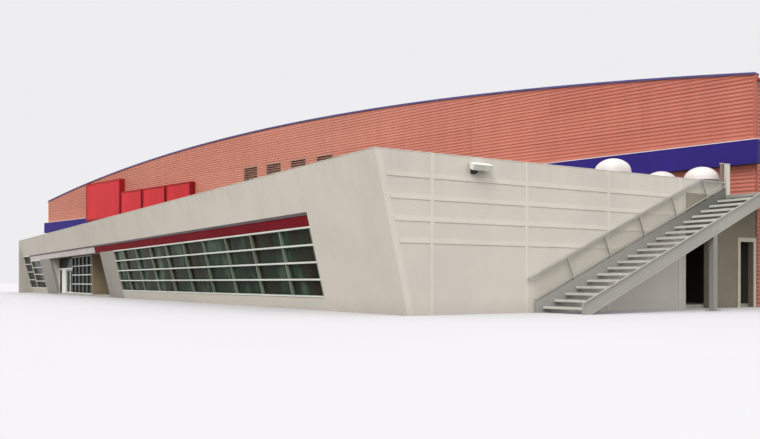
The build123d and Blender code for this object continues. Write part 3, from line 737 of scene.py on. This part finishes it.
# Trim of the hall
def hall_corner_flashings():
    """Folded corner sheets over the ends of the ribs, broken where the blue band runs through.

    At the front a pale strip takes the left corner, and the low volume the foot of the right one.
    """
    shape = Shape("corner_flashings")
    wide, proud = 0.045, RIB_DEPTH + 0.004
    deep = (-TRIM_SEAT, proud)
    for side, on_flank in ((1, on_right), (-1, on_left)):
        top = arch(side * half_width)
        across = sorted((side * (half_width - wide), side * (half_width + proud)))
        for on_face, places in ((on_gable, (0.0, wide)), (on_rear, (hall_depth - wide, hall_depth))):
            for low, high in ((WALL_FOOT, band_low.z), (band_high.z, top)):
                if on_face is on_rear or (side > 0 and high == top):
                    shape.block(on_face, across, deep, (low, high))
            shape.block(on_flank, places, deep, (WALL_FOOT, top))
    shape.make(corner_metal, "cladding", bevel=0.003)


def band_trim():
    """Flashing on the blue band, pale as a painted highlight of its top edge, a dark strip below it as
    painted shade under the band, and cover strips over its joints.
    """
    flashing, shade_strip_under_band, joints = Shape("band_flashings"), Shape("band_painted_shade"), Shape("band_joints")
    ends, depth = (-band_reach, band_reach), gable_low.y - band_low.y
    edge, flashing_height = 0.006, 0.022
    for on_face in (on_gable, on_rear):
        # A real flashing strip, its pale colour a painted highlight along the band's top edge
        flashing.block(on_face, ends, (0.0, depth + edge), (band_high.z, band_high.z + flashing_height))
        # Dark strip along the band's underside: painted shade beneath it
        shade_strip_under_band.block(on_face, ends, (0.0, depth - edge), (band_low.z - edge, band_low.z + TRIM_SEAT))
        for middle in evenly(*ends, BAND_SHEET)[1:-1]:
            deep = (depth - TRIM_SEAT, depth + LAP_THICK)
            joints.block(on_face, around(middle, LAP_HALF), deep, (band_low.z, band_high.z))
    flashing.make(flashing_metal, "white_metal", bevel=0.002)
    shade_strip_under_band.make(dark_gaskets_and_shade, "blue_metal")
    joints.make(blue_metal, "blue_metal", bevel=0.001)


def coping_straps():
    """Straps over the joints of the blue copings, front and rear."""
    shape = Shape("coping_straps")
    deep = (COPING_OVERHANG + LAP_THICK, -HALL_WALL - COPING_OVERHANG - LAP_THICK)
    high = (-LAP_THICK, COPING_HEIGHT + LAP_THICK)
    for middle in evenly(-half_width, half_width, COPING_SHEET)[1:-1]:
        for on_face in (on_gable, on_rear):
            shape.block(on_face, around(middle, LAP_HALF), deep, high, arch)
    shape.make(coping_metal, "blue_metal", bevel=0.001)


def roof_seams():
    """Standing seams across the vaulted roof, over the arch from eave to eave."""
    shape = Shape("roof_seams")
    half_seam, seat, high, gap, spans = 0.006, -0.004, 0.025, 0.05, 28
    inside_coping = HALL_WALL + COPING_OVERHANG + gap
    stations = evenly(-half_width, half_width, 2 * half_width / spans)
    for middle in evenly(inside_coping, hall_depth - inside_coping, ROOF_SHEET[1]):
        shape.block(on_gable, stations, around(-middle, half_seam), (seat, high), roof_line)
    shape.make(seam_metal, "roof_sheet")


def eave_gutters():
    """Folded gutters along both eaves, with a strap every metre."""
    gutters, straps = Shape("eave_gutters"), Shape("gutter_straps")
    wall, far, deep, above_roof = 0.004, 0.105, 0.075, 0.01
    near, strap_half, strap_thick = RIB_DEPTH + wall, 0.012, 0.003
    for side, on_flank in ((1, on_right), (-1, on_left)):
        rim = roof_line(side * half_width) + above_roof
        floor = rim - deep
        outside = [(near, rim), (near, floor), (far, floor), (far, rim)]
        low, inner, outer = floor + wall, near + wall, far - wall
        inside = [(outer, rim), (outer, low), (inner, low), (inner, rim)]
        gutters.prism(on_flank, outside + inside, (0.0, hall_depth))
        for number in range(int(hall_depth)):
            for high in ((rim - wall, rim + 0.002), (floor - wall, floor + 0.001)):
                straps.block(on_flank, around(number + 0.5, strap_half), (0.0, far + strap_thick), high)
    gutters.make(corner_metal, "cladding")
    straps.make(corner_metal, "cladding")


def sign_faces():
    """Acrylic panels inside the rims of the sign's boxes, and small fixings along the rims."""
    faces, fixings = Shape("sign_faces"), Shape("sign_fixings")
    inset, face_gap, fixing_half, fixing_high = SIGN_RIM + 0.004, 0.008, 0.012, 0.004
    sign_low, sign_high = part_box("sign_board")
    front = gable_low.y - sign_low.y
    high_left = SIGN_LEFT - half_width
    low_left = high_left + SIGN_HIGH_WIDTH
    pitch = SIGN_LOW_WIDTH / SIGN_LOW_BOXES
    boxes = [(high_left, low_left, sign_high.z)]
    for number in range(SIGN_LOW_BOXES):
        boxes.append((low_left + number * pitch + SIGN_GAP, low_left + (number + 1) * pitch, SIGN_LOW_TOP))
    for left, right, top in boxes:
        deep = (front - SIGN_RECESS - TRIM_SEAT, front - face_gap)
        faces.block(on_gable, (left + inset, right - inset), deep, (sign_low.z + inset, top - inset))
        places = (left + SIGN_RIM / 2, (left + right) / 2, right - SIGN_RIM / 2)
        heights = (sign_low.z + SIGN_RIM / 2, (sign_low.z + top) / 2, top - SIGN_RIM / 2)
        for place in places:
            for height in heights:
                if (place, height) != (places[1], heights[1]):
                    deep = (front - TRIM_SEAT, front + fixing_high)
                    fixings.block(on_gable, around(place, fixing_half), deep, around(height, fixing_half))
    faces.make(sign_face, "sign_red", bevel=0.006)
    fixings.make(sign_side, "sign_red", bevel=0.004)


def louvre_screens():
    """Insect screens behind the gable's louvres."""
    shape = Shape("louvre_screens")
    lap, gap, thick = 0.02, 0.002, 0.006
    for left, right in louvre_spans:
        deep = (-HALL_WALL - gap - thick, -HALL_WALL - gap)
        shape.block(on_gable, (left - lap, right + lap), deep, (louvre_low.z, louvre_high.z))
    shape.make(louvre_backing, "louvre_metal")


def roof_upstand():
    """Strip of roofing felt turned up the gable behind the low roof, under a clamping bar."""
    upstand, bar = Shape("roof_upstand"), Shape("upstand_bar")
    felt_height, bar_low, bar_high, thick = 0.13, 0.095, 0.12, 0.006
    foot, proud, reach = FRONT_ROOF_TOP, RIB_DEPTH + thick, (end_wall_left - hall_middle, half_width)
    upstand.block(on_gable, reach, (-TRIM_SEAT, proud), (foot, foot + felt_height))
    bar.block(on_gable, reach, (proud - TRIM_SEAT, proud + thick), (foot + bar_low, foot + bar_high))
    upstand.make(membrane, "roof_sheet")
    bar.make(flashing_metal, "white_metal")


hall_corner_flashings()
band_trim()
coping_straps()
roof_seams()
eave_gutters()
sign_faces()
louvre_screens()
roof_upstand()


# Trim of the low front volume
def parapet_caps():
    """Folded caps on the parapets, with a lap strip at every sheet."""
    caps, laps = Shape("parapet_caps"), Shape("parapet_laps")
    high, proud, lap_thick = 0.012, 0.004, 0.002
    front_edge = -FRONT_TOP * math.tan(LEAN)
    runs = (
        (on_front, (-proud, front_length + proud), (-proud, FRONT_WALL + proud)),
        (on_side, (front_edge + FRONT_WALL, parapet_end), (-FRONT_WALL - proud, proud)),
    )
    for place, ends, deep in runs:
        caps.block(place, ends, deep, (FRONT_TOP, FRONT_TOP + high))
        for middle in evenly(*ends, CAP_SHEET)[1:-1]:
            wider = (deep[0] - lap_thick, deep[1] + lap_thick)
            laps.block(place, around(middle, LAP_HALF), wider, (FRONT_TOP, FRONT_TOP + high + lap_thick))
    caps.make(cap_metal, "plaster", bevel=0.002)
    laps.make(cap_metal, "plaster")


def fascia_trim():
    """Dark joints between the fascia's sheets, and a grey strip over them, painted shadow under the wall
    above.
    """
    joints, shadow_strip = Shape("fascia_joints"), Shape("fascia_painted_shadow")
    joint_half, joint_back, shadow_front, shadow_height = 0.004, 0.03, 0.004, 0.055
    for middle in evenly(SHOP_RIGHT, last_bay, SHOP_BAY)[1:-1]:
        deep = (FASCIA_RECESS - TRIM_SEAT, joint_back)
        joints.block(on_front, around(middle, joint_half), deep, (GLASS_HEAD, FASCIA_TOP))
    # Painted shadow: a grey strip along the fascia's top, under the edge of the wall above
    high = (FASCIA_TOP - shadow_height, FASCIA_TOP + TRIM_SEAT)
    shadow_strip.block(on_front, (SHOP_RIGHT, last_bay), (shadow_front, FASCIA_RECESS + TRIM_SEAT), high)
    joints.make(dark_gaskets_and_shade, "fascia_red")
    shadow_strip.make(painted_shadow_grey, "fascia_pale", bevel=0.001)


def glazing_trim():
    """White caps on the level bars, grey covers on the uprights, and gaskets round the panes."""
    caps, covers, gaskets = Shape("transom_caps"), Shape("mullion_covers"), Shape("pane_gaskets")
    cap_front, cap_inset, cover_front = -0.01, 0.005, -0.004
    gasket, inside = 0.007, (0.058, 0.0705)
    shop_uprights = []
    place = shop_left - SHOP_END_BAY
    while place > SHOP_RIGHT + SHOP_BAY / 2:
        shop_uprights.append(place - BAR)
        place -= SHOP_BAY
    fields = (
        (SHOP_RIGHT, shop_left, GLASS_HEAD, sorted(shop_uprights)),
        (pier_left, last_bay, GLASS_HEAD, []),
        (last_bay, front_length - FRONT_WALL, FASCIA_TOP, []),
    )
    for right, left, top, uprights in fields:
        row = (top - GLASS_SILL - BAR) / GLASS_ROWS
        feet = [GLASS_SILL + number * row for number in range(GLASS_ROWS + 1)]
        for foot in feet:
            high = (foot + cap_inset, foot + BAR - cap_inset)
            caps.block(on_front, (right, left), (cap_front, TRIM_SEAT), high)
        for place in uprights:
            high = (GLASS_SILL + BAR, top - BAR)
            covers.block(on_front, (place, place + BAR), (cover_front, TRIM_SEAT), high)
        edges = [right, *uprights, left - BAR]
        for upright, far in zip(edges, edges[1:]):
            near = upright + BAR
            for foot in feet[:-1]:
                low, high = foot + BAR, foot + row
                gaskets.block(on_front, (near, near + gasket), inside, (low, high))
                gaskets.block(on_front, (far - gasket, far), inside, (low, high))
                gaskets.block(on_front, (near, far), inside, (low, low + gasket))
                gaskets.block(on_front, (near, far), inside, (high - gasket, high))
    caps.make(white_metal, "white_metal", bevel=0.002)
    covers.make(cover_metal, "white_metal", bevel=0.001)
    gaskets.make(dark_gaskets_and_shade, "louvre_metal")


def entrance_fixed_trim():
    """Jamb reveal, caps on the screen's level bars, and the threshold."""
    reveal, caps, threshold = Shape("entrance_reveal"), Shape("screen_caps"), Shape("door_threshold")
    reveal_front, reveal_thick, cap_proud, cap_inset = 0.11, 0.03, 0.008, 0.006
    threshold_deep, threshold_thick = (0.055, 0.15), 0.003
    low, high = ((FRONT_WALL - height * math.tan(LEAN), height) for height in (FLOOR_TOP, GLASS_HEAD))
    outline = [low, (reveal_front, FLOOR_TOP), (reveal_front, GLASS_HEAD), high]
    reveal.prism(on_front_level, outline, (entrance_left, entrance_left + reveal_thick))
    row = (GLASS_HEAD - FLOOR_TOP - BAR) / GLASS_ROWS
    for number in range(GLASS_ROWS + 1):
        foot = FLOOR_TOP + number * row
        deep = (SCREEN_FRONT - cap_proud, SCREEN_FRONT + TRIM_SEAT)
        high = (foot + cap_inset, foot + BAR - cap_inset)
        caps.block(on_front_level, (porch_left + PORCH_WALL, door_right), deep, high)
    high = (FLOOR_TOP, FLOOR_TOP + threshold_thick)
    threshold.block(on_front_level, (door_right, door_left), threshold_deep, high)
    reveal.make(plaster, "plaster")
    caps.make(white_metal, "white_metal", bevel=0.002)
    threshold.make(dark_metal_and_tread_shade, "galvanised")


def leaf_trim():
    """A soft edge and a flush pull, inside and out, on each sliding leaf."""
    seal_thick, seal_inset, pull_sunk, pull_proud = 0.002, 0.006, 0.002, 0.0015
    pull_near, pull_far, pull_low, pull_high = 0.014, 0.032, 0.43, 0.6
    meeting = (door_left + door_right) / 2
    front, back = LEAF_FRONT, LEAF_FRONT + LEAF_DEPTH
    bottom = FLOOR_TOP + LEAF_RUNNING
    for side, body, sign in (("left", "left_leaf", 1), ("right", "right_leaf", -1)):
        edge = meeting + sign * LEAF_RUNNING / 2
        seal, pull = Shape(side + "_leaf_seal"), Shape(side + "_leaf_pull")
        across, deep = sorted((edge, edge - sign * seal_thick)), (front + seal_inset, back - seal_inset)
        seal.block(on_front_level, across, deep, (bottom, bottom + LEAF_HEIGHT))
        across = sorted((edge + sign * pull_near, edge + sign * pull_far))
        for deep in ((front - pull_proud, front + pull_sunk), (back - pull_sunk, back + pull_proud)):
            pull.block(on_front_level, across, deep, (bottom + pull_low, bottom + pull_high))
        seal.make(dark_gaskets_and_shade, "louvre_metal", body)
        pull.make(dark_metal_and_tread_shade, "galvanised", body, bevel=0.0005)


parapet_caps()
fascia_trim()
glazing_trim()
entrance_fixed_trim()
leaf_trim()


# Stair, side wall and roof fittings
def guard_mesh():
    """Welded wires of the guard: uprights close together and level rods along the pitch."""
    shape = Shape("guard_mesh_wires")
    flat = GOING / math.hypot(GOING, rise)
    reach = (GUARD_HEIGHT - GUARD_RAIL / 2) / flat
    level = GUARD_TOP - GUARD_RAIL / 2
    start, inner = stair_foot - STRINGER_LEAD, STAIR_GAP + GUARD_INSET
    between, outer = inner + MESH_WIRE, inner + 2 * MESH_WIRE
    for place in evenly(start, stair_top, MESH_PITCH):
        low = stringer_edge(place)
        shape.block(on_side, around(place, MESH_WIRE / 2), (inner, between), (low, min(low + reach, level)))
    for number in range(1, int(reach / MESH_ROD_PITCH) + 1):
        lift = number * MESH_ROD_PITCH
        end = min(stair_top, stair_foot + (level - rise - STRINGER_ABOVE - lift) / slope)
        shape.block(on_side, (start, end), (between, outer), (lift, lift + MESH_WIRE), stringer_edge)
    piece = shape.make(mesh_wire, "guard_mesh")
    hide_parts("stair_guard_mesh")


def slim_columns():
    """The stair's two columns, slimmer than their solids, flush with them at the outer far corner."""
    shape = Shape("stair_column_sections")
    outer, inner = stair_outer, stair_outer - COLUMN_SHOWN
    stringer_drop = STRINGER_DEPTH * math.hypot(GOING, rise) / GOING
    for far in column_ends:
        near = far - COLUMN_SHOWN
        corners = ((near, inner), (near, outer), (far, outer), (far, inner))
        tops = [stringer_edge(place) - stringer_drop for place, out in corners]
        if far == landing_end:
            tops = [FRONT_ROOF_TOP - LANDING_THICK] * len(corners)
        foot = [on_side(place, out, 0.0) for place, out in corners]
        head = [on_side(place, out, top) for (place, out), top in zip(corners, tops)]
        shape.loft(foot, head)
    piece = shape.make(column_paint, "galvanised", bevel=0.006)
    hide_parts("stair_columns")


def slim_posts():
    """The two slim posts at the roof access, with the parapet's stub before the first."""
    shape = Shape("access_posts")
    for near, far, top in access_posts:
        shape.block(on_side, (near, far), (-POST_DEPTH, 0.0), (FRONT_ROOF_TOP, top))
    piece = shape.make(post_plaster, "plaster", bevel=0.003)
    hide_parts("roof_access_posts")


def walking_surfaces():
    """Pale skins on the treads' front lips, as painted light against the treads' painted shade, and bars on
    the landing.
    """
    lit_lips, bars = Shape("tread_lip_highlights"), Shape("landing_bars")
    gap, lip_top_width, lip_skin_thick = 0.002, 0.03, 0.003
    bar_half, bar_inset, bar_sunk, bar_proud = 0.003, 0.01, 0.002, 0.004
    across = (STAIR_GAP + STRINGER_THICK + gap, stair_outer - STRINGER_THICK - gap)
    for number in range(1, RISERS):
        near, level = stair_foot + (number - 1) * GOING, number * rise
        # Pale skins on each tread's top edge and front lip: painted light
        for width, drop in ((lip_top_width, TRIM_SEAT), (TRIM_SEAT, TREAD_LIP)):
            high = (level - drop, level + lip_skin_thick)
            lit_lips.block(on_side, (near - gap, near + width), across, high)
    across = (bar_inset, stair_outer - bar_inset)
    high = (FRONT_ROOF_TOP - bar_sunk, FRONT_ROOF_TOP + bar_proud)
    for place in evenly(stair_top, landing_end, LANDING_BAR_PITCH)[1:-1]:
        bars.block(on_side, around(place, bar_half), across, high)
    lit_lips.make(lip_highlight_paint, "galvanised")
    bars.make(dark_metal_and_tread_shade, "galvanised")


def column_feet():
    """A base plate with four bolts under each column."""
    plates, bolts = Shape("column_base_plates"), Shape("base_plate_bolts")
    plate_thick, plate_margin, bolt_margin = 0.014, 0.05, 0.027
    inner, outer, high, sides = 0.0005, 0.011, 0.012, 6
    bolt = [(inner, 0), (outer, 0), (outer, high), (inner, high)]
    half = COLUMN_SHOWN / 2
    middle_out, reach, bolt_at = stair_outer - half, half + plate_margin, half + bolt_margin
    for far in column_ends:
        middle = far - half
        plates.block(on_side, around(middle, reach), around(middle_out, reach), (0.0, plate_thick))
        for place in around(middle, bolt_at):
            for out in around(middle_out, bolt_at):
                bolts.ring(on_side(place, out, plate_thick - TRIM_SEAT), bolt, sides)
    plates.make(galvanised, "galvanised", bevel=0.002)
    bolts.make(dark_metal_and_tread_shade, "galvanised")


def lamp_fittings():
    """Frosted glass in the lamp's sloping front and under it, and the dark bracket beneath."""
    lens, bracket = Shape("lamp_lens"), Shape("lamp_bracket")
    high, low = LAMP_TOP - 0.056, LAMP_TOP - LAMP_HEIGHT
    half, bracket_half = LAMP_WIDTH / 2 - 0.022, 0.05
    front = [(0.1735, high - 0.002), (0.137, low + 0.002), (0.132, low + 0.004), (0.168, high)]
    under = [(0.131, low - 0.001), (0.051, low + 0.032), (0.053, low + 0.037), (0.133, low + 0.004)]
    for outline in (front, under):
        lens.prism(on_side, outline, around(LAMP_CENTRE, half))
    outline = [(0.0, low - 0.05), (0.07, low - 0.035), (0.085, low + 0.012), (0.0, low + 0.035)]
    bracket.prism(on_side, outline, around(LAMP_CENTRE - LAMP_WIDTH / 4, bracket_half))
    lens.make(lamp_glass, "glazing")
    bracket.make(dark_gaskets_and_shade, "lamp_housing", bevel=0.004)


def roof_fittings():
    """Clamping rims of the domes, flashings at the feet of their kerbs, and caps on the roof posts."""
    rims, skirts, caps = Shape("dome_rims"), Shape("kerb_flashings"), Shape("roof_post_caps")
    inner, outer, low = DOME_RADIUS - 0.012, DOME_RADIUS + 0.006, KERB_HEIGHT - 0.022
    rim = [(inner, low), (outer, low), (outer, KERB_HEIGHT + 0.012), (inner, KERB_HEIGHT + 0.02)]
    inner, outer, high = DOME_RADIUS - 0.03, DOME_RADIUS + 0.04, 0.05
    skirt = [(inner, 0), (outer, 0), (DOME_RADIUS - 0.012, high), (inner, high)]
    sides, lap, proud, thick = 48, 0.004, 0.006, 0.012
    for from_side, from_corner in DOME_PLACES:
        centre = on_side(SIDE_LENGTH - from_corner, -from_side, FRONT_ROOF_TOP)
        rims.ring(centre, rim, sides)
        skirts.ring(centre, skirt, sides)
    for near, far, top in access_posts:
        caps.block(on_side, (near - lap, far + lap), (-POST_DEPTH - proud, proud), (top, top + thick))
    rims.make(flashing_metal, "white_metal", bevel=0.001)
    skirts.make(membrane, "roof_sheet")
    caps.make(cap_metal, "plaster", bevel=0.002)


guard_mesh()
slim_columns()
slim_posts()
walking_surfaces()
column_feet()
lamp_fittings()
roof_fittings()

# Ground, light and camera
GROUND_SIZE = 600.0
BACKGROUND = paint(238, 237, 240)
SKY_LOW = 1.17
SKY_HIGH = 1.68
SUN_STRENGTH = 1.6
SUN_BREADTH = math.radians(25)
SUN_COLOUR = (1.0, 0.98, 0.94)
SUN_SIDE = Vector((0.35, -1.0, 1.15))
CAMERA_OFFSET = Vector((7.257, -19.167, 0.56))
CAMERA_LENS = 39.5
CAMERA_TURN = math.radians(45)
HORIZON_SHIFT = 0.0822


def seen_directly(tree):
    """One where a ray comes from the camera, a mirror or glass, and nought where it carries light."""
    rays = add_node(tree, "ShaderNodeLightPath").outputs
    seen = rays["Is Camera Ray"]
    for other in ("Is Glossy Ray", "Is Transmission Ray"):
        seen = add_node(tree, "ShaderNodeMath", {0: seen, 1: rays[other]}, operation="MAXIMUM").outputs[0]
    return seen


def ground():
    """A pale level floor that runs to the horizon, darker for the light that it throws back."""
    look = Look("pale_ground", 0.9, 0.0, 0.0)
    tones = look.ramp(look.noise(0.15, detail=6.0), (0.3, paint(185, 184, 187)), (0.7, paint(188, 187, 190)))
    look.colour(look.mix(seen_directly(look.tree), paint(112, 110, 105), tones))
    mesh = bpy.data.meshes.new("ground")
    half = GROUND_SIZE / 2
    corners = [(-half, -half, 0), (half, -half, 0), (half, half, 0), (-half, half, 0)]
    mesh.from_pydata(corners, [], [(0, 1, 2, 3)])
    mesh.materials.append(look.material)
    floor = add_object("ground", mesh)


def sky():
    """Overcast light, stronger from above, and a plain pale background where it is seen directly."""
    world = bpy.data.worlds.new("overcast")
    world.use_nodes = True
    tree = world.node_tree
    direction = add_node(tree, "ShaderNodeTexCoord").outputs["Generated"]
    height = add_node(tree, "ShaderNodeSeparateXYZ", {0: direction}).outputs[2]
    levels = {"Value": height, "To Min": SKY_LOW, "To Max": SKY_HIGH}
    light = add_node(tree, "ShaderNodeMapRange", levels).outputs[0]
    colours = {0: seen_directly(tree), 6: light, 7: BACKGROUND}
    colour = add_node(tree, "ShaderNodeMix", colours, data_type="RGBA").outputs[2]
    tree.links.new(colour, tree.nodes["Background"].inputs["Color"])
    bpy.context.scene.world = world


def sun():
    """A weak, broad sun from the front, a little to the right."""
    light = bpy.data.lights.new("soft_sun", "SUN")
    light.energy = SUN_STRENGTH
    light.angle = SUN_BREADTH
    light.color = SUN_COLOUR
    lamp = add_object("soft_sun", light)
    lamp.rotation_euler = SUN_SIDE.to_track_quat("Z", "Y").to_euler()


def camera():
    """Level, at eye height, looking along the diagonal between the facade and the side wall."""
    data = bpy.data.cameras.new("camera")
    data.lens = CAMERA_LENS
    data.sensor_width = 36
    data.shift_y = HORIZON_SHIFT
    data.clip_end = 1000
    eye = add_object("camera", data)
    eye.location = hall_corner + CAMERA_OFFSET
    eye.rotation_euler = (math.pi / 2, 0, CAMERA_TURN)
    bpy.context.scene.camera = eye


ground()
sky()
sun()
camera()
bpy.context.scene.view_settings.view_transform = "Standard"
